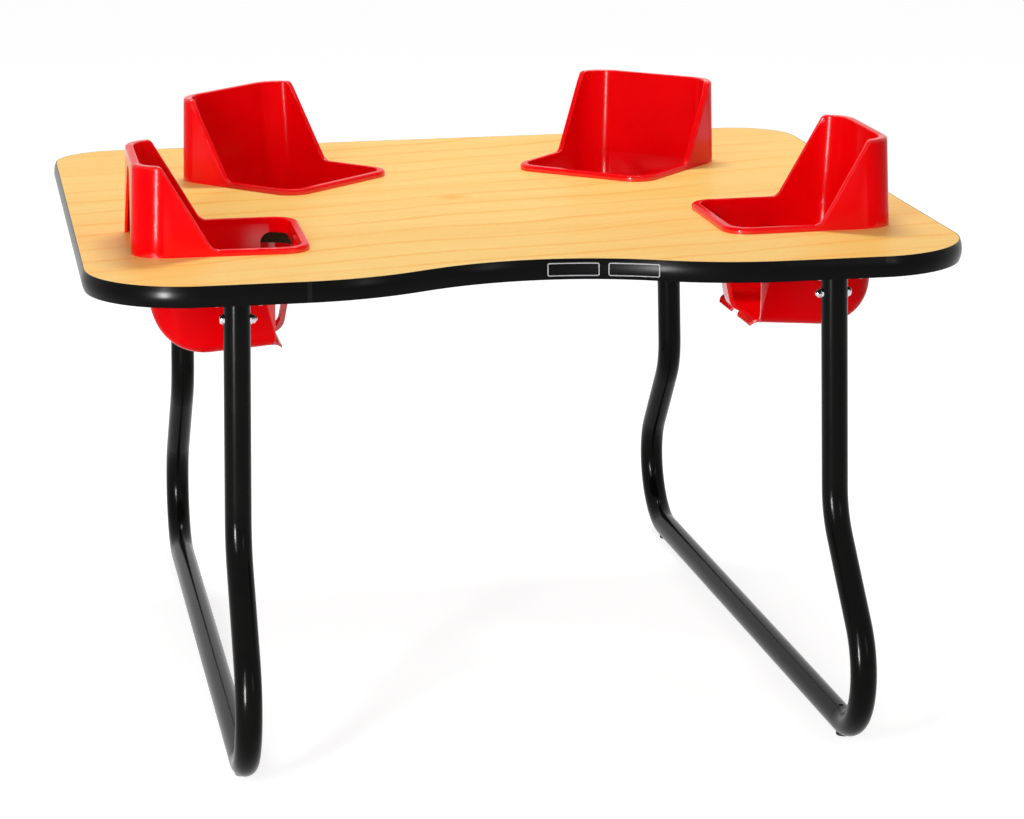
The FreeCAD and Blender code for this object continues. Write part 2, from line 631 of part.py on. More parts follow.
def is_mouth_edge(edge):
    """Edges where the bucket's inside walls meet the rim, the wings and the top of the back."""
    box = edge.BoundBox
    reach = RIM_BAND_SIDE / 3
    along = box.XMax < mouth_front_u() + reach and box.XMin > bucket_rear_u(BACK_HEIGHT) - reach
    across = box.YMax < mouth_half_width() + reach and box.YMin > -mouth_half_width() - reach
    return along and across and box.ZMin > RIM_HEIGHT / 2


# ---------------------------------------------------------------- leg frames
# Frame plane: y along the frame, z up from the floor, x across the tube. The right frame is
# built upright at x = 0, then toed, splayed and moved out; the left one is its mirror image.

def frame_place():
    turn = Rotation(UP, FRAME_TOE_DEG).multiply(Rotation(ALONG_Y, -FRAME_SPLAY_DEG))
    pivot = Vector(0, 0, UNDERSIDE_Z)
    seat = Placement(Vector(FRAME_HALF_SPACING, 0, UNDERSIDE_Z), turn)
    return seat.multiply(Placement(-pivot, Rotation()))


def placed_right(shape):
    return shape.transformed(frame_place().toMatrix())


def frame_centreline():
    """The tube's path: upright, S-bend, floor bar and the same again, as lines and arcs."""
    slant = math.radians(SLANT_ANGLE_DEG)
    bend_y = FOOT_HALF_REACH - BEND_RADIUS
    bend_z = BAR_Z + BEND_RADIUS
    slant_low = Vector(0, bend_y + BEND_RADIUS * math.cos(slant), bend_z + BEND_RADIUS * math.sin(slant))
    run = (slant_low.y - UPRIGHT_HALF_SPACING) / math.sin(slant)
    knee = Vector(0, UPRIGHT_HALF_SPACING, slant_low.z + run * math.cos(slant))
    setback = BEND_RADIUS * math.tan(slant / 2)
    knee_up = knee + UP * setback
    knee_down = knee + (slant_low - knee).normalize() * setback
    knee_centre = knee_up + Vector(0, BEND_RADIUS, 0)
    knee_mid = knee_centre - Vector(0, math.cos(slant / 2), math.sin(slant / 2)) * BEND_RADIUS
    bar_end = Vector(0, bend_y, BAR_Z)
    sweep = math.radians(90) + slant
    middle_angle = slant - sweep / 2
    heel_mid = Vector(0, bend_y + BEND_RADIUS * math.cos(middle_angle),
                      bend_z + BEND_RADIUS * math.sin(middle_angle))
    top = Vector(0, UPRIGHT_HALF_SPACING, tube_top_z())
    half = [
        Part.LineSegment(top, knee_up).toShape(),
        Part.Arc(knee_up, knee_mid, knee_down).toShape(),
        Part.LineSegment(knee_down, slant_low).toShape(),
        Part.Arc(slant_low, heel_mid, bar_end).toShape(),
        Part.LineSegment(bar_end, Vector(0, 0, BAR_Z)).toShape(),
    ]
    other = [edge.mirror(Vector(0, 0, 0), ALONG_Y) for edge in half]
    return Part.Wire(Part.__sortEdges__(half + other))


def tube_top_z():
    """The leaning tube's end just clears the level socket plate."""
    return SOCKET_PLATE_Z - TUBE_RADIUS * math.sin(math.radians(FRAME_SPLAY_DEG)) - TUBE_END_CLEARANCE


def swept_rod(path, radius):
    ends = [vertex.Point for vertex in path.OrderedVertexes]
    ring_edge = Part.makeCircle(radius, ends[0], UP)
    return path.makePipeShell([Part.Wire([ring_edge])], True, False, 1)


def upright_axes():
    """Where the two uprights of a frame stand, along the frame."""
    return {"front": -UPRIGHT_HALF_SPACING, "back": UPRIGHT_HALF_SPACING}


def glide_spots():
    return [-(FOOT_HALF_REACH - BEND_RADIUS), FOOT_HALF_REACH - BEND_RADIUS]


def cross_bolt_hole(y):
    start = Vector(-TUBE_DIAMETER, y, BOLT_Z)
    return cylinder(BOLT_RADIUS + SCREW_FIT, 2 * TUBE_DIAMETER, start, ALONG_X)


def make_leg_frame():
    path = frame_centreline()
    tube = swept_rod(path, TUBE_RADIUS).cut(swept_rod(path, TUBE_BORE))
    hole_y = -(FOOT_HALF_REACH - BEND_RADIUS - DRAIN_HOLE_SETBACK)
    tools = [cylinder(DRAIN_HOLE_RADIUS, TUBE_DIAMETER, Vector(0, hole_y, BAR_Z), UP)]
    tools += [cross_bolt_hole(y) for y in upright_axes().values()]
    for y in glide_spots():
        tools.append(cylinder(GLIDE_STEM_RADIUS + SADDLE_FIT, TUBE_RADIUS, Vector(0, y, BAR_Z), -UP))
    return tube.cut(tools)


def socket_screw_spots(y):
    half = SOCKET_SCREW_SPACING / 2
    return [Vector(sx * half, y + sy * half, 0) for sx in (-1, 1) for sy in (-1, 1)]


def plan_place():
    """Where flat things under the top sit: toed like the frame, but level."""
    return Placement(Vector(FRAME_HALF_SPACING, 0, 0), Rotation(UP, FRAME_TOE_DEG))


def make_leg_socket(y):
    """Flat plate against the underside, with a stub tube that the upright slips over."""
    half = SOCKET_PLATE_SIDE / 2
    wire = rounded_rectangle((-half, y - half), (half, y + half), SOCKET_PLATE_CORNER_RADIUS,
                             SOCKET_PLATE_Z)
    plate = prism(wire, UP * SOCKET_PLATE_THICKNESS)
    for spot in socket_screw_spots(y):
        hole = cylinder(WOOD_SCREW_RADIUS + SCREW_FIT, 2 * SOCKET_PLATE_THICKNESS,
                        spot + UP * (SOCKET_PLATE_Z - SOCKET_PLATE_THICKNESS / 2), UP)
        plate = plate.cut(hole)
    plate = plate.transformed(plan_place().toMatrix())
    stub_base = Vector(0, y, SOCKET_PLATE_Z - SOCKET_STUB_LENGTH)
    stub_height = SOCKET_STUB_LENGTH + SOCKET_PLATE_THICKNESS / 2
    stub = cylinder(STUB_RADIUS, stub_height, stub_base, UP)
    bore = cylinder(STUB_RADIUS - SOCKET_STUB_WALL, stub_height, stub_base, UP)
    stub = placed_right(stub.cut([bore, cross_bolt_hole(y)]))
    return plate.fuse(stub).removeSplitter()


def wood_screw(spot):
    """Pan-head screw up through the socket plate into the core."""
    head_z = SOCKET_PLATE_Z
    shank = cylinder(WOOD_SCREW_RADIUS, WOOD_SCREW_LENGTH - WOOD_SCREW_RADIUS, spot + UP * head_z, UP)
    point = Part.makeCone(WOOD_SCREW_RADIUS, 0, WOOD_SCREW_RADIUS,
                          spot + UP * (head_z + WOOD_SCREW_LENGTH - WOOD_SCREW_RADIUS), UP)
    head = cylinder(WOOD_SCREW_HEAD_RADIUS, WOOD_SCREW_HEAD_HEIGHT, spot + UP * head_z, -UP)
    middle_z = head_z - WOOD_SCREW_HEAD_HEIGHT / 2
    rim = [edge for edge in head.Edges if edge.BoundBox.ZMax < middle_z]
    head = head.makeFillet(WOOD_SCREW_HEAD_HEIGHT / 2, rim)
    return fuse_all([shank, point, head])


def wood_screw_hole(spot):
    """Hole in the board for one screw."""
    start = spot + UP * SOCKET_PLATE_Z
    return cylinder(WOOD_SCREW_RADIUS + SCREW_FIT, WOOD_SCREW_LENGTH + SCREW_FIT, start, UP)


def right_screw_spots():
    spots = []
    for y in upright_axes().values():
        for spot in socket_screw_spots(y):
            spots.append(plan_place().multVec(spot))
    return spots


def on_both_sides(right_shapes):
    return right_shapes + [mirrored(shape) for shape in right_shapes]


def cross_bolt(y):
    """Domed head on the outside of the upright, threaded end in the cap nut on the inside."""
    outer_face = Vector(GRIP_HALF, y, BOLT_Z)
    thread_end = -GRIP_HALF - CAP_NUT_HEX_HEIGHT
    shank = cylinder(BOLT_RADIUS, GRIP_HALF - thread_end, Vector(thread_end, y, BOLT_Z), ALONG_X)
    head = cylinder(BOLT_HEAD_RADIUS, BOLT_HEAD_HEIGHT, outer_face, ALONG_X)
    rim = [edge for edge in head.Edges if edge.BoundBox.XMin > GRIP_HALF + BOLT_HEAD_HEIGHT / 2]
    head = head.makeFillet(BOLT_HEAD_ROUND, rim)
    return fuse_all([shank, head])


def cap_nut(y):
    """Hexagon with a dome, facing the middle of the table."""
    face = Vector(-GRIP_HALF, y, BOLT_Z)
    corner_radius = CAP_NUT_FLATS / math.sqrt(3)
    points = [face + Vector(0, corner_radius * math.cos(math.radians(60 * step)),
                            corner_radius * math.sin(math.radians(60 * step))) for step in range(6)]
    hexagon = prism(Part.makePolygon(points + [points[0]]), -ALONG_X * CAP_NUT_HEX_HEIGHT)
    chamfer_radius = corner_radius - CAP_NUT_CHAMFER
    chamfer_cone = Part.makeCone(chamfer_radius + CAP_NUT_HEX_HEIGHT, chamfer_radius,
                                 CAP_NUT_HEX_HEIGHT, face, -ALONG_X)
    hexagon = hexagon.common(chamfer_cone)
    straight = CAP_NUT_HEIGHT - CAP_NUT_DOME_RADIUS
    dome = cylinder(CAP_NUT_DOME_RADIUS, straight, face, -ALONG_X)
    cap = Part.makeSphere(CAP_NUT_DOME_RADIUS, face - ALONG_X * straight, -ALONG_X, 0, 90, 360)
    bore = cylinder(BOLT_RADIUS + SCREW_FIT, CAP_NUT_HEX_HEIGHT + SCREW_FIT, face, -ALONG_X)
    return fuse_all([hexagon, dome, cap]).cut(bore)


def washers(y):
    """One curved-seat washer each side of the upright, fitted to the tube."""
    tube = cylinder(TUBE_RADIUS + SADDLE_FIT, TUBE_DIAMETER, Vector(0, y, BOLT_Z - TUBE_RADIUS), UP)
    rings = []
    for side in (-1, 1):
        inner_x = TUBE_RADIUS - TUBE_SAG_AT_WASHER
        start = Vector(side * inner_x, y, BOLT_Z)
        disc = cylinder(WASHER_RADIUS, GRIP_HALF - inner_x, start, ALONG_X * side)
        bore = cylinder(BOLT_RADIUS + SCREW_FIT, GRIP_HALF - inner_x, start, ALONG_X * side)
        rings.append(disc.cut([bore, tube]))
    return rings


def floor_glide(y):
    """Level nylon button under the floor bar, with a stem square to the tube."""
    spot = frame_place().multVec(Vector(0, y, BAR_Z))
    saddle_height = GLIDE_PROUD + TUBE_RADIUS - math.sqrt(TUBE_RADIUS ** 2 - GLIDE_RADIUS ** 2)
    button = cylinder(GLIDE_RADIUS, saddle_height, Vector(spot.x, spot.y, 0), UP)
    rim = [edge for edge in button.Edges if edge.BoundBox.ZMax < saddle_height / 2]
    button = button.makeFillet(GLIDE_EDGE_ROUND, rim)
    bar_start = Vector(0, y - 2 * GLIDE_RADIUS, BAR_Z)
    bar = cylinder(TUBE_RADIUS + SADDLE_FIT, 4 * GLIDE_RADIUS, bar_start, ALONG_Y)
    stem = cylinder(GLIDE_STEM_RADIUS, GLIDE_STEM_LENGTH, Vector(0, y, GLIDE_PROUD / 2), UP)
    return fuse_all([button.cut(placed_right(bar)), placed_right(stem)])


# ---------------------------------------------------------------- assembly

def main():
    os.makedirs("parts", exist_ok=True)
    right_spots = right_screw_spots()
    screw_holes = on_both_sides([wood_screw_hole(spot) for spot in right_spots])
    export("core_board", make_core_board(screw_holes))
    export("top_laminate", make_top_laminate())
    export("backing_sheet", make_backing_sheet(screw_holes))
    export("edge_band", make_edge_band())
    for name, centre_x in zip(("information_plate_left", "information_plate_right"), PLATE_CENTRES_X):
        export(name, make_information_plate(centre_x))

    seat = make_seat()
    for name, place in seat_places().items():
        export(name, seat.transformed(place.toMatrix()))

    frame = placed_right(make_leg_frame())
    export("leg_frame_right", frame)
    export("leg_frame_left", mirrored(frame))
    for end, y in upright_axes().items():
        socket = make_leg_socket(y)
        export("leg_socket_%s_right" % end, socket)
        export("leg_socket_%s_left" % end, mirrored(socket))

    uprights = list(upright_axes().values())
    export("socket_screws", Part.makeCompound(on_both_sides([wood_screw(spot) for spot in right_spots])))
    bolts = [placed_right(cross_bolt(y)) for y in uprights]
    export("cross_bolts", Part.makeCompound(on_both_sides(bolts)))
    nuts = [placed_right(cap_nut(y)) for y in uprights]
    export("cap_nuts", Part.makeCompound(on_both_sides(nuts)))
    rings = [placed_right(ring_shape) for y in uprights for ring_shape in washers(y)]
    export("bolt_washers", Part.makeCompound(on_both_sides(rings)))
    glides = [floor_glide(y) for y in glide_spots()]
    export("floor_glides", Part.makeCompound(on_both_sides(glides)))


main()
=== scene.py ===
import math

import bmesh
import bpy
from mathutils import Matrix, Vector

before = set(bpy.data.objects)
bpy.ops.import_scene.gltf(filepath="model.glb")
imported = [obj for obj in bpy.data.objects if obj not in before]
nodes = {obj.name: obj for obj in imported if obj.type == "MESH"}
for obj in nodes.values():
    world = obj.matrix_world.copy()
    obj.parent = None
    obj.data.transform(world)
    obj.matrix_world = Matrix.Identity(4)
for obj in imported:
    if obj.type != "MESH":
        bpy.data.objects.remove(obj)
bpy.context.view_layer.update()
scene = bpy.context.scene

# ------------------------------------------------------------------ sizes and places, in metres
BAND_MID_Z = 0.699
STRIP_JOINT_X = -0.3341         # where the ends of the edge strip meet, on the front edge
STRIP_JOINT_MAX_Y = -0.45
STRIP_GAP_HALF_WIDTH = 0.00045
STRIP_LIP_WIDTH = 0.0016        # from the middle of the gap
FRONT_EDGE_Y = -0.560
BAY_DEPTH = 0.083               # the bay in the front edge is an S-curve of four equal arcs
BAY_HALF_WIDTH = 0.340
BAY_RADIUS = ((BAY_HALF_WIDTH / 2) ** 2 + (BAY_DEPTH / 2) ** 2) / BAY_DEPTH
PLATE_LENGTH = 0.076
PLATE_HEIGHT = 0.0215
PLATE_CORNER_RADIUS = 0.004
PLATE_BORDER_START = 0.0012     # from the plate's edge, inward
PLATE_BORDER_END = 0.0026
PLATE_CENTRES_X = {"information_plate_left": 0.0515, "information_plate_right": 0.136}
HANDLED_FROM_Z = 0.80           # the backs of the seats are handled more and more up to their tops
HANDLED_TO_Z = 0.846
SCUFFED_FROM_Z = 0.085          # the legs are scuffed more and more towards the floor
SCUFFED_TO_Z = 0.010
GLIDE_RUBBED_FROM_Z = 0.0022
GLIDE_RUBBED_TO_Z = 0.0006

# ------------------------------------------------------------------ the printed maple, in metres
SLOW_WANDER = 0.075
QUICK_WANDER = 0.012
GRAIN_SLANT = -0.22             # a growth lane's shift for each metre of x
WIDE_LANE = 0.083
NARROW_LANE = 0.046
NARROW_LANE_SHIFT = 0.017
KNOT_X = -0.038
KNOT_Y = 0.019
KNOT_STRETCH = 1.3
KNOT_UNEVENNESS = 0.009

# ------------------------------------------------------------------ colours, linear
MAPLE_PALE = (0.972, 0.636, 0.190)
MAPLE_DEEP = (0.957, 0.575, 0.143)
MAPLE_LINE = (0.93, 0.42, 0.038)
MAPLE_FIBRE = (0.93, 0.50, 0.085)
MAPLE_FLECK = (0.98, 0.70, 0.27)
MAPLE_KNOT = (0.93, 0.42, 0.035)
# painted shade: near-black colours for the walls of the board's cut-outs, deep under the board
CORE_SHADE_DARK = (0.010, 0.0075, 0.0018)
CORE_SHADE_MIDDLE = (0.022, 0.017, 0.0045)
CORE_SHADE_PALE = (0.040, 0.031, 0.010)
# painted shade: near-black colours for the balancing sheet on the shaded underside of the board
BACKING_SHADE_DARK = (0.030, 0.024, 0.011)
BACKING_SHADE_PALE = (0.050, 0.041, 0.020)
BACKING_FIBRE = (0.018, 0.014, 0.007)
BACKING_RUBBED = (0.085, 0.070, 0.040)
STRIP_BLACK = (0.0009, 0.0009, 0.0008)
STRIP_MARK = (0.0050, 0.0049, 0.0047)
STRIP_LIP_GREY = (0.030, 0.030, 0.031)
STRIP_GAP_BLACK = (0.0005, 0.0005, 0.0005)
SEAT_RED = (0.820, 0.0004, 0.0020)
SEAT_CLOUD = (0.900, 0.0007, 0.0035)
SEAT_SCRATCH = (0.92, 0.020, 0.022)
SEAT_WORN = (0.93, 0.008, 0.012)
ENAMEL_BLACK = (0.0020, 0.0020, 0.0019)
ENAMEL_CLOUD = (0.0036, 0.0035, 0.0031)
ENAMEL_SCUFF = (0.040, 0.038, 0.036)
BRIGHT_PLATING = (0.60, 0.60, 0.61)
ZINC_PLATING = (0.58, 0.57, 0.54)
NYLON_BLACK = (0.012, 0.012, 0.012)
NYLON_MOTTLE = (0.026, 0.026, 0.025)
NYLON_RUBBED = (0.10, 0.095, 0.09)
PLATE_FIELD = (0.0016, 0.0016, 0.0017)
PLATE_SCRATCH = (0.05, 0.05, 0.051)
PLATE_SILVER_DARK = (0.42, 0.43, 0.44)
PLATE_SILVER_PALE = (0.56, 0.57, 0.58)
FLOOR_LOW = (0.600, 0.600, 0.596)
FLOOR_HIGH = (0.620, 0.620, 0.617)
FLOOR_SEEN_LOW = (0.44, 0.44, 0.437)
FLOOR_SEEN_HIGH = (0.45, 0.45, 0.447)
WHITE = (1.0, 1.0, 1.0, 1.0)

# ------------------------------------------------------------------ stage, camera and light
FLOOR_HALF_SIDE = 40.0          # metres
FLOOR_SEGMENTS = 8
FLOOR_GLOW = 0.82
AMBIENT_STRENGTH = 0.36
BACKDROP_STRENGTH = 1.0

IMAGE_WIDTH = 1024
FOCAL_PIXELS = 3745.334         # focal length, in pixels of that image
SENSOR_WIDTH = 36.0             # millimetres
VIEW_DISTANCE = 200.0           # beyond the far edge of the floor
CAMERA_PLACE = Vector((-0.96881, -5.56647, 1.77403))
CAMERA_YAW = -0.181065          # angles in radians
CAMERA_PITCH = 0.241845
CAMERA_ROLL = -0.006232

LAMP_TARGET = Vector((0.0, 0.0, 0.62))
LAMPS = (
    # name, place, width, height, watts, lights matt surfaces too
    ("softbox_left", (-2.00, -2.80, 1.15), 0.24, 2.00, 72.0, True),
    ("softbox_right", (1.95, -3.70, 1.75), 0.40, 1.30, 14.0, True),
    ("softbox_top", (0.3, 1.2, 3.6), 1.20, 0.60, 60.0, True),
    ("gloss_strip_left", (-2.00, -2.80, 0.66), 0.30, 0.96, 230.0, False),
)


# ------------------------------------------------------------------ node material helper
class Graph:
    """A material's node tree. Its methods take plain values or sockets."""

    def __init__(self, name):
        self.material = bpy.data.materials.new(name)
        self.material.use_nodes = True
        self.tree = self.material.node_tree
        self.tree.nodes.clear()
        self.output = self.tree.nodes.new("ShaderNodeOutputMaterial")
        self.position = self.node("ShaderNodeTexCoord").outputs["Object"]

    def node(self, kind, settings=None, **sockets):
        """A new node. Keywords name its input sockets, with _ for a space."""
        made = self.tree.nodes.new(kind)
        for key, value in (settings or {}).items():
            setattr(made, key, value)
        for key, value in sockets.items():
            self.put(made.inputs[key.replace("_", " ")], value)
        return made

    def put(self, socket, value):
        if isinstance(value, bpy.types.NodeSocket):
            self.tree.links.new(value, socket)
        else:
            socket.default_value = value

    def calculate(self, operation, first, second=None, clamp=False):
        made = self.node("ShaderNodeMath", {"operation": operation, "use_clamp": clamp})
        self.put(made.inputs[0], first)
        if second is not None:
            self.put(made.inputs[1], second)
        return made.outputs[0]

    def add(self, first, second, clamp=False):
        return self.calculate("ADD", first, second, clamp)

    def times(self, first, second, clamp=False):
        return self.calculate("MULTIPLY", first, second, clamp)

    def scaled(self, scale, source=None, location=(0, 0, 0), turn=0.0):
        """The object's own coordinates, or another source's, scaled, moved and turned about z."""
        made = self.node("ShaderNodeMapping", Vector=source or self.position)
        made.inputs["Scale"].default_value = scale
        made.inputs["Location"].default_value = location
        made.inputs["Rotation"].default_value = (0, 0, turn)
        return made.outputs["Vector"]

    def parts(self, vector=None):
        """The x, y and z of a vector."""
        return self.node("ShaderNodeSeparateXYZ", Vector=vector or self.position).outputs

    def noise(self, scale, detail=3.0, roughness=0.5, vector=None):
        made = self.node("ShaderNodeTexNoise", Vector=vector or self.position, Scale=scale,
                         Detail=detail, Roughness=roughness)
        return made.outputs["Fac"]

    def stretched_noise(self, scale, detail=3.0, roughness=0.5, location=(0, 0, 0), turn=0.0):
        """Noise with a scale for each axis, so that it draws out into fibres or lines."""
        return self.noise(1.0, detail, roughness, self.scaled(scale, location=location, turn=turn))

    def ramp(self, factor, *stops):
        """Stops are (position, value) pairs, with a grey value or a colour."""
        made = self.node("ShaderNodeValToRGB", Fac=factor)
        elements = made.color_ramp.elements
        while len(elements) < len(stops):
            elements.new(1.0)
        for element, (position, value) in zip(elements, stops):
            element.position = position
            colour = (value,) * 3 if isinstance(value, (int, float)) else value
            element.color = (*colour, 1.0)
        return made.outputs["Color"]

    def spread(self, factor, low, high, from_low=0.0, from_high=1.0):
        """Carries from_low..from_high over to low..high."""
        made = self.node("ShaderNodeMapRange", Value=factor)
        made.inputs["From Min"].default_value = from_low
        made.inputs["From Max"].default_value = from_high
        made.inputs["To Min"].default_value = low
        made.inputs["To Max"].default_value = high
        return made.outputs["Result"]

    def mix(self, factor, start, end):
        """The colour start, going over to end as the factor goes from 0 to 1."""
        made = self.node("ShaderNodeMix", {"data_type": "RGBA"})
        # the node has inputs for numbers and vectors too, so its colour ones go by their index
        factor_input, start_input, end_input = (made.inputs[index] for index in (0, 6, 7))
        for socket, value in ((factor_input, factor), (start_input, start), (end_input, end)):
            if isinstance(value, tuple):
                value = (*value, 1.0)
            self.put(socket, value)
        return made.outputs[2]

    def bump(self, height, strength, distance, normal=None):
        """A bumped normal, on top of another one where that is given."""
        made = self.node("ShaderNodeBump", Height=height, Strength=strength, Distance=distance)
        if normal is not None:
            self.put(made.inputs["Normal"], normal)
        return made.outputs["Normal"]

    def finish(self, base, roughness, normal, **fixed):
        """Closes the material with its shader. Keywords name sockets of the shader, as in node()."""
        shader = self.node("ShaderNodeBsdfPrincipled")
        self.put(shader.inputs["Base Color"], base)
        self.put(shader.inputs["Roughness"], roughness)
        self.put(shader.inputs["Normal"], normal)
        for key, value in fixed.items():
            self.put(shader.inputs[key.replace("_", " ")], value)
        self.tree.links.new(shader.outputs[0], self.output.inputs["Surface"])
        return self.material


# ------------------------------------------------------------------ materials
def growth_lines(g):
    """Strength of the growth lines, which wander slowly and close up in places."""
    slow = g.stretched_noise((1.5, 3.2, 1.0), 2.0)
    quick = g.stretched_noise((5.0, 9.0, 1.0), 3.0, 0.55, location=(3.1, 1.7, 0))
    x, y, _ = g.parts()
    lane = g.add(y, g.spread(slow, -SLOW_WANDER, SLOW_WANDER))
    lane = g.add(lane, g.spread(quick, -QUICK_WANDER, QUICK_WANDER))
    lane = g.add(lane, g.times(x, GRAIN_SLANT))
    wide = g.calculate("FRACT", g.calculate("DIVIDE", lane, WIDE_LANE))
    shifted = g.add(lane, NARROW_LANE_SHIFT)
    narrow = g.calculate("FRACT", g.calculate("DIVIDE", shifted, NARROW_LANE))
    wide_line = g.ramp(wide, (0.0, 0.0), (0.38, 0.05), (0.52, 1.0), (0.60, 0.06), (1.0, 0.0))
    narrow_line = g.ramp(narrow, (0.0, 0.0), (0.50, 0.0), (0.60, 0.7), (0.66, 0.0), (1.0, 0.0))
    wide_fade = g.ramp(g.stretched_noise((2.1, 6.0, 1.0), 2.0, location=(9, 4, 0)),
                       (0.30, 0.15), (0.62, 1.0))
    narrow_fade = g.ramp(g.stretched_noise((2.8, 7.0, 1.0), 2.0, location=(2, 8, 0)),
                         (0.42, 0.0), (0.66, 0.8))
    return g.add(g.times(wide_line, wide_fade), g.times(narrow_line, narrow_fade), clamp=True)


def pin_knot(g):
    """Strength of one small pin knot, with the fibre darkened round it."""
    distance = g.node("ShaderNodeVectorMath", {"operation": "DISTANCE"})
    g.put(distance.inputs[0], g.scaled((1.0, KNOT_STRETCH, 0.0)))
    g.put(distance.inputs[1], (KNOT_X, KNOT_Y * KNOT_STRETCH, 0.0))
    uneven = g.spread(g.noise(90.0, 3.0, 0.6), -KNOT_UNEVENNESS, KNOT_UNEVENNESS)
    near = g.add(distance.outputs["Value"], uneven)
    return g.ramp(near, (0.0, 0.90), (0.010, 0.70), (0.022, 0.25), (0.040, 0.0))


def maple_laminate():
    """Printed maple: pale ground, thin amber growth lines across the table, fine fibre."""
    g = Graph("maple_laminate")
    lines = growth_lines(g)
    broad = g.stretched_noise((1.2, 14.0, 1.0), location=(0, 5, 0))
    fibre = g.stretched_noise((26.0, 620.0, 1.0), 4.0, 0.65)
    fleck = g.stretched_noise((160.0, 420.0, 1.0), 2.0, location=(7, 2, 0))
    base = g.mix(g.ramp(broad, (0.35, 0.0), (0.68, 1.0)), MAPLE_PALE, MAPLE_DEEP)
    base = g.mix(g.times(lines, 0.92), base, MAPLE_LINE)
    base = g.mix(g.spread(fibre, 0.0, 0.26, 0.35, 0.75), base, MAPLE_FIBRE)
    base = g.mix(g.spread(fleck, 0.0, 0.34, 0.42, 0.72), base, MAPLE_FLECK)
    base = g.mix(pin_knot(g), base, MAPLE_KNOT)
    return g.finish(base, g.spread(fibre, 0.36, 0.50), g.bump(fibre, 0.12, 0.0002),
                    Specular_IOR_Level=0.06)


def core_board():
    """Particle board coloured near black as painted shade on the walls of the cut-outs, where alone
    it shows.
    """
    g = Graph("core_board")
    chips = g.node("ShaderNodeTexVoronoi", Vector=g.scaled((260.0, 260.0, 620.0)), Scale=1.0)
    grain = g.noise(900.0, 3.0, 0.6)
    flakes = g.mix(0.45, chips.outputs["Color"], g.ramp(grain, (0.3, 0.0), (0.7, 1.0)))
    # the near-black colours are painted shade for the cut-out walls under the board
    base = g.ramp(flakes, (0.15, CORE_SHADE_DARK), (0.55, CORE_SHADE_MIDDLE), (0.9, CORE_SHADE_PALE))
    normal = g.bump(chips.outputs["Distance"], 0.6, 0.0006)
    return g.finish(base, g.spread(grain, 0.75, 0.95), normal, Specular_IOR_Level=0.2)


def backing_sheet():
    """Balancing sheet under the board, coloured near black as painted shade: paper fibre with a dull
    satin face.
    """
    g = Graph("backing_sheet")
    cloud = g.noise(7.0, 4.0, 0.6)
    paper = g.noise(420.0, 4.0, 0.7)
    # the near-black cloud colours are painted shade for the underside of the board
    base = g.ramp(cloud, (0.30, BACKING_SHADE_DARK), (0.72, BACKING_SHADE_PALE))
    base = g.mix(g.spread(paper, 0.0, 0.40, 0.4, 0.8), base, BACKING_FIBRE)
    rubbed = g.ramp(g.noise(3.0, 6.0, 0.7), (0.56, 0.0), (0.60, 0.35), (0.64, 0.0))
    base = g.mix(rubbed, base, BACKING_RUBBED)
    return g.finish(base, g.spread(paper, 0.52, 0.72), g.bump(paper, 0.25, 0.0003),
                    Specular_IOR_Level=0.3)


def edge_moulding():
    """Satin black T-moulding: fine leather-like texture, butt joint, faint handling marks."""
    g = Graph("edge_moulding")
    x, y, _ = g.parts()
    pores = g.noise(1500.0, 3.0, 0.6)
    drawn = g.stretched_noise((30.0, 30.0, 900.0))
    marks = g.ramp(g.stretched_noise((22.0, 22.0, 170.0), 5.0, 0.7), (0.64, 0.0), (0.72, 0.6))
    base = g.mix(marks, STRIP_BLACK, STRIP_MARK)
    # the ends of the strip meet in a narrow gap between two slightly paler lips
    from_joint = g.calculate("ABSOLUTE", g.add(x, -STRIP_JOINT_X))
    in_front = g.calculate("LESS_THAN", y, STRIP_JOINT_MAX_Y)
    gap = g.times(g.calculate("LESS_THAN", from_joint, STRIP_GAP_HALF_WIDTH), in_front)
    lip = g.times(g.ramp(from_joint, (0.0, 1.0), (STRIP_LIP_WIDTH, 0.0)), in_front)
    base = g.mix(g.times(lip, 0.5), base, STRIP_LIP_GREY)
    base = g.mix(gap, base, STRIP_GAP_BLACK)
    rough = g.add(g.spread(pores, 0.20, 0.28), g.times(marks, 0.10))
    normal = g.bump(drawn, 0.10, 0.0002, g.bump(pores, 0.14, 0.0002))
    normal = g.bump(gap, 0.8, -0.0008, normal)
    return g.finish(base, rough, normal, Specular_IOR_Level=0.07)


def seat_plastic():
    """Glossy red moulding: faint flow clouds, moulded orange peel, fine rub marks."""
    g = Graph("seat_plastic")
    cloud = g.noise(9.0, 4.0, 0.55)
    peel = g.noise(420.0, 2.0, 0.5)
    ripple = g.noise(38.0, 2.0, 0.5)
    scratch = g.ramp(g.stretched_noise((60.0, 260.0, 60.0), 6.0, 0.75, turn=0.6),
                     (0.66, 0.0), (0.70, 0.7), (0.74, 0.0))
    _, _, z = g.parts()
    base = g.ramp(cloud, (0.30, SEAT_RED), (0.70, SEAT_CLOUD))
    base = g.mix(g.times(scratch, 0.22), base, SEAT_SCRATCH)
    # the tops of the backs are handled most, and go a little paler and duller
    handled = g.ramp(z, (HANDLED_FROM_Z, 0.0), (HANDLED_TO_Z, 1.0))
    worn = g.times(handled, g.ramp(g.noise(55.0, 4.0, 0.6), (0.45, 0.0), (0.70, 0.5)))
    base = g.mix(g.times(worn, 0.25), base, SEAT_WORN)
    rough = g.add(g.spread(cloud, 0.13, 0.19), g.times(scratch, 0.10))
    rough = g.add(rough, g.times(worn, 0.08))
    normal = g.bump(ripple, 0.05, 0.0010, g.bump(peel, 0.02, 0.0002))
    # handling polishes the rounded edges
    edges = g.node("ShaderNodeNewGeometry").outputs["Pointiness"]
    polish = g.spread(edges, 0.032, 0.90, 0.512, 0.560)
    return g.finish(base, rough, normal, Specular_IOR_Level=polish)


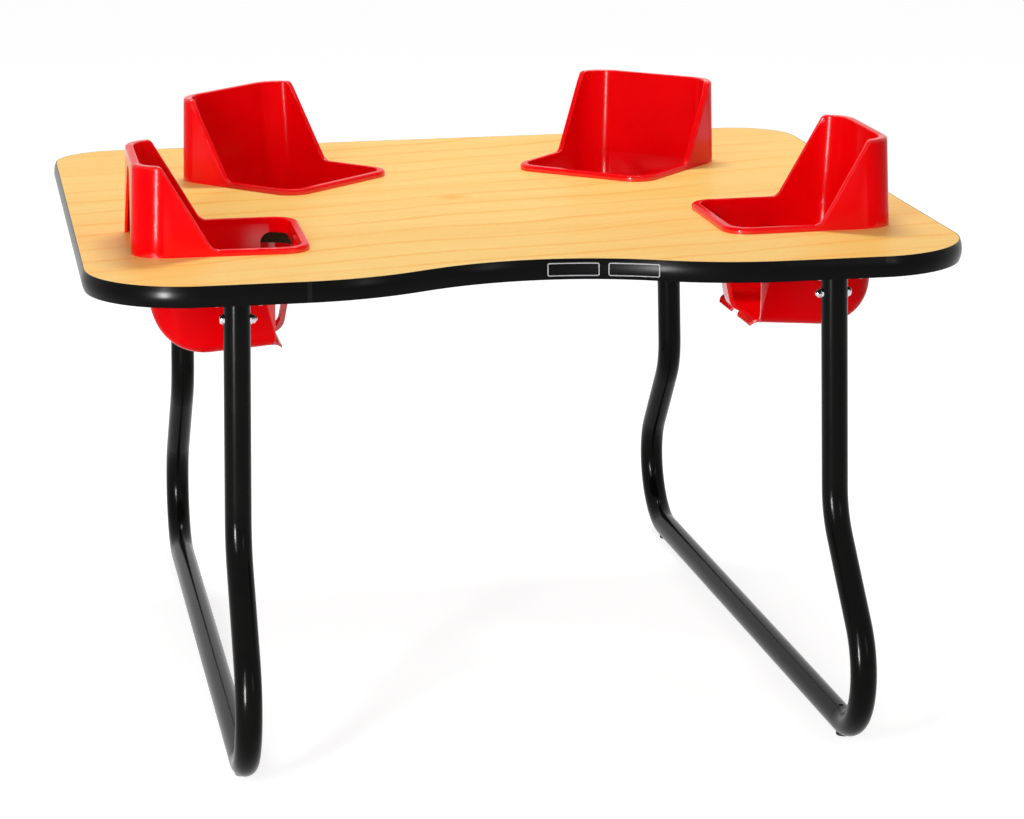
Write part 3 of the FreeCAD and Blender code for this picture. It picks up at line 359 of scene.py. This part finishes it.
def tube_enamel():
    """Gloss black enamel on steel: orange peel, dust nibs, rubbed and scuffed low down."""
    g = Graph("tube_enamel")
    peel = g.noise(330.0, 2.0, 0.5)
    cloud = g.noise(14.0, 4.0, 0.6)
    _, _, z = g.parts()
    low = g.ramp(z, (SCUFFED_TO_Z, 1.0), (SCUFFED_FROM_Z, 0.0))
    scuffs = g.ramp(g.stretched_noise((40.0, 40.0, 180.0), 6.0, 0.75), (0.60, 0.0), (0.68, 0.8))
    scuffs = g.times(scuffs, g.add(g.times(low, 0.8), 0.10), clamp=True)
    nibs = g.node("ShaderNodeTexVoronoi", Vector=g.position, Scale=95.0)
    nib = g.ramp(nibs.outputs["Distance"], (0.0, 1.0), (0.055, 0.0))
    base = g.mix(g.ramp(cloud, (0.35, 0.0), (0.70, 1.0)), ENAMEL_BLACK, ENAMEL_CLOUD)
    base = g.mix(g.times(scuffs, 0.6), base, ENAMEL_SCUFF)
    rough = g.add(g.spread(cloud, 0.14, 0.22), g.times(scuffs, 0.35))
    normal = g.bump(nib, 0.25, 0.0002, g.bump(peel, 0.07, 0.0003))
    return g.finish(base, rough, normal, Specular_IOR_Level=0.06)


def plated_metal(name, colour, low_rough, high_rough):
    """Plating with fine polishing lines and small dull spots."""
    g = Graph(name)
    lines = g.stretched_noise((2600.0, 400.0, 2600.0), 4.0, 0.6)
    spots = g.ramp(g.noise(800.0, 3.0, 0.6), (0.55, 0.0), (0.68, 1.0))
    dull = tuple(0.62 * channel for channel in colour)
    base = g.mix(g.times(spots, 0.6), colour, dull)
    rough = g.add(g.spread(lines, low_rough, high_rough), g.times(spots, 0.10))
    return g.finish(base, rough, g.bump(lines, 0.10, 0.0001), Metallic=1.0)


def glide_nylon():
    """Dull black nylon, rubbed paler where it slides on the floor."""
    g = Graph("glide_nylon")
    mottle = g.noise(500.0, 4.0, 0.6)
    _, _, z = g.parts()
    rubbed = g.ramp(z, (GLIDE_RUBBED_TO_Z, 1.0), (GLIDE_RUBBED_FROM_Z, 0.0))
    base = g.mix(g.spread(mottle, 0.0, 1.0, 0.4, 0.7), NYLON_BLACK, NYLON_MOTTLE)
    base = g.mix(g.times(rubbed, 0.5), base, NYLON_RUBBED)
    return g.finish(base, g.spread(mottle, 0.5, 0.7), g.bump(mottle, 0.3, 0.0002),
                    Specular_IOR_Level=0.25)


def edge_distance(g, along, up):
    """Distance from a plate's rounded edge, inward."""
    past = [g.calculate("SUBTRACT", g.calculate("ABSOLUTE", value), size / 2 - PLATE_CORNER_RADIUS)
            for value, size in ((along, PLATE_LENGTH), (up, PLATE_HEIGHT))]
    squares = [g.calculate("POWER", g.calculate("MAXIMUM", value, 0.0), 2.0) for value in past]
    corner = g.calculate("SQRT", g.add(*squares))
    side = g.calculate("MINIMUM", g.calculate("MAXIMUM", *past), 0.0)
    return g.calculate("SUBTRACT", PLATE_CORNER_RADIUS, g.add(corner, side))


def information_plate(name, centre_x):
    """Bare plate: black field, bright border on the raised rib, brushed and lightly scratched."""
    g = Graph(name)
    turn = math.asin(centre_x / BAY_RADIUS)
    edge_y = FRONT_EDGE_Y + BAY_DEPTH - BAY_RADIUS + math.sqrt(BAY_RADIUS ** 2 - centre_x ** 2)
    centred = g.node("ShaderNodeVectorMath", {"operation": "SUBTRACT"})
    g.put(centred.inputs[0], g.position)
    g.put(centred.inputs[1], (centre_x, edge_y, BAND_MID_Z))
    along, _, up = g.parts(g.scaled((1, 1, 1), centred.outputs[0], turn=turn))
    inside = edge_distance(g, along, up)
    border = g.times(g.calculate("GREATER_THAN", inside, PLATE_BORDER_START),
                     g.calculate("LESS_THAN", inside, PLATE_BORDER_END))
    brushed = g.stretched_noise((60.0, 60.0, 6000.0), 4.0, 0.6)
    scratch = g.ramp(g.stretched_noise((150.0, 150.0, 900.0), 5.0, 0.7, turn=0.4),
                     (0.68, 0.0), (0.71, 1.0), (0.74, 0.0))
    field = g.mix(g.times(scratch, 0.5), PLATE_FIELD, PLATE_SCRATCH)
    silver = g.mix(g.spread(brushed, 0.0, 1.0), PLATE_SILVER_DARK, PLATE_SILVER_PALE)
    base = g.mix(border, field, silver)
    rough = g.add(g.spread(brushed, 0.26, 0.40), g.times(border, 0.08))
    return g.finish(base, rough, g.bump(brushed, 0.08, 0.0001), Specular_IOR_Level=0.07)


def dress_nodes():
    """Gives every node of the frame its material."""
    enamel = tube_enamel()
    chrome = plated_metal("bright_plating", BRIGHT_PLATING, low_rough=0.06, high_rough=0.16)
    zinc = plated_metal("zinc_plating", ZINC_PLATING, low_rough=0.25, high_rough=0.42)
    red = seat_plastic()
    dressing = {
        "core_board": core_board(),
        "top_laminate": maple_laminate(),
        "backing_sheet": backing_sheet(),
        "edge_band": edge_moulding(),
        "socket_screws": zinc,
        "cross_bolts": chrome,
        "cap_nuts": chrome,
        "bolt_washers": chrome,
        "floor_glides": glide_nylon(),
    }
    for name, centre_x in PLATE_CENTRES_X.items():
        dressing[name] = information_plate(name + "_face", centre_x)
    for name in nodes:
        if name.startswith("seat_"):
            dressing[name] = red
        elif name.startswith("leg_"):
            dressing[name] = enamel
    for name, node in nodes.items():
        node.data.materials.clear()
        node.data.materials.append(dressing[name])
        for polygon in node.data.polygons:
            polygon.material_index = 0


# ------------------------------------------------------------------ stage, camera, light
def seen_directly(tree):
    """1 for camera, glossy and transmission rays, so that gloss shows the backdrop too."""
    path = tree.nodes.new("ShaderNodeLightPath")
    total = path.outputs["Is Camera Ray"]
    for name in ("Is Glossy Ray", "Is Transmission Ray"):
        larger = tree.nodes.new("ShaderNodeMath")
        larger.operation = "MAXIMUM"
        tree.links.new(total, larger.inputs[0])
        tree.links.new(path.outputs[name], larger.inputs[1])
        total = larger.outputs[0]
    return total


def choose_by_ray(tree, lighting, seen, surface):
    """Gives a surface one shader where it lights the object, and another where it is seen."""
    choose = tree.nodes.new("ShaderNodeMixShader")
    tree.links.new(seen_directly(tree), choose.inputs[0])
    tree.links.new(lighting.outputs[0], choose.inputs[1])
    tree.links.new(seen.outputs[0], choose.inputs[2])
    tree.links.new(choose.outputs[0], surface)


def studio_floor():
    """Pale matt floor, seen nearly white with the object's shadow on it."""
    g = Graph("studio_floor")
    tone = g.noise(3.0, 3.0, 0.5)
    plain = g.node("ShaderNodeBsdfDiffuse", Color=g.mix(tone, FLOOR_LOW, FLOOR_HIGH))
    lit = g.node("ShaderNodeBsdfDiffuse", Color=g.mix(tone, FLOOR_SEEN_LOW, FLOOR_SEEN_HIGH))
    glow = g.node("ShaderNodeEmission", Color=WHITE, Strength=FLOOR_GLOW)
    both = g.node("ShaderNodeAddShader")
    g.tree.links.new(lit.outputs[0], both.inputs[0])
    g.tree.links.new(glow.outputs[0], both.inputs[1])
    choose_by_ray(g.tree, plain, both, g.output.inputs["Surface"])
    return g.material


def add_floor():
    """A wide level floor, which isn't part of the object."""
    mesh = bpy.data.meshes.new("floor")
    shape = bmesh.new()
    bmesh.ops.create_grid(shape, x_segments=FLOOR_SEGMENTS, y_segments=FLOOR_SEGMENTS,
                          size=FLOOR_HALF_SIDE)
    shape.to_mesh(mesh)
    shape.free()
    floor = bpy.data.objects.new("studio_floor", mesh)
    scene.collection.objects.link(floor)
    mesh.materials.append(studio_floor())


def add_camera():
    """The camera at the photograph's viewing angle."""
    forward = Vector((-math.sin(CAMERA_YAW) * math.cos(CAMERA_PITCH),
                      math.cos(CAMERA_YAW) * math.cos(CAMERA_PITCH), -math.sin(CAMERA_PITCH)))
    level = Vector((math.cos(CAMERA_YAW), math.sin(CAMERA_YAW), 0.0))
    upright = level.cross(forward)
    across = level * math.cos(CAMERA_ROLL) + upright * math.sin(CAMERA_ROLL)
    above = upright * math.cos(CAMERA_ROLL) - level * math.sin(CAMERA_ROLL)
    data = bpy.data.cameras.new("camera")
    data.sensor_fit = "HORIZONTAL"
    data.sensor_width = SENSOR_WIDTH
    data.lens = FOCAL_PIXELS * SENSOR_WIDTH / IMAGE_WIDTH
    data.clip_end = VIEW_DISTANCE
    camera = bpy.data.objects.new("camera", data)
    scene.collection.objects.link(camera)
    camera.matrix_world = Matrix((
        (across.x, above.x, -forward.x, CAMERA_PLACE.x),
        (across.y, above.y, -forward.y, CAMERA_PLACE.y),
        (across.z, above.z, -forward.z, CAMERA_PLACE.z),
        (0.0, 0.0, 0.0, 1.0)))
    scene.camera = camera


def add_lamp(name, place, width, height, watts, lights_matt):
    """A rectangular lamp turned to the object. Without lights_matt it only shows in gloss."""
    data = bpy.data.lights.new(name, "AREA")
    data.shape = "RECTANGLE"
    data.size = width
    data.size_y = height
    data.energy = watts
    lamp = bpy.data.objects.new(name, data)
    scene.collection.objects.link(lamp)
    lamp.location = place
    lamp.visible_diffuse = lights_matt
    lamp.rotation_euler = (LAMP_TARGET - lamp.location).to_track_quat("-Z", "Y").to_euler()


def add_world():
    """Soft light from all round, in front of a white backdrop."""
    world = bpy.data.worlds.new("studio")
    scene.world = world
    world.use_nodes = True
    tree = world.node_tree
    tree.nodes.clear()
    output = tree.nodes.new("ShaderNodeOutputWorld")
    ambient = tree.nodes.new("ShaderNodeBackground")
    ambient.inputs["Color"].default_value = WHITE
    ambient.inputs["Strength"].default_value = AMBIENT_STRENGTH
    backdrop = tree.nodes.new("ShaderNodeBackground")
    backdrop.inputs["Color"].default_value = WHITE
    backdrop.inputs["Strength"].default_value = BACKDROP_STRENGTH
    choose_by_ray(tree, ambient, backdrop, output.inputs["Surface"])


dress_nodes()
add_floor()
add_camera()
for lamp_values in LAMPS:
    add_lamp(*lamp_values)
add_world()
scene.view_settings.view_transform = "Standard"
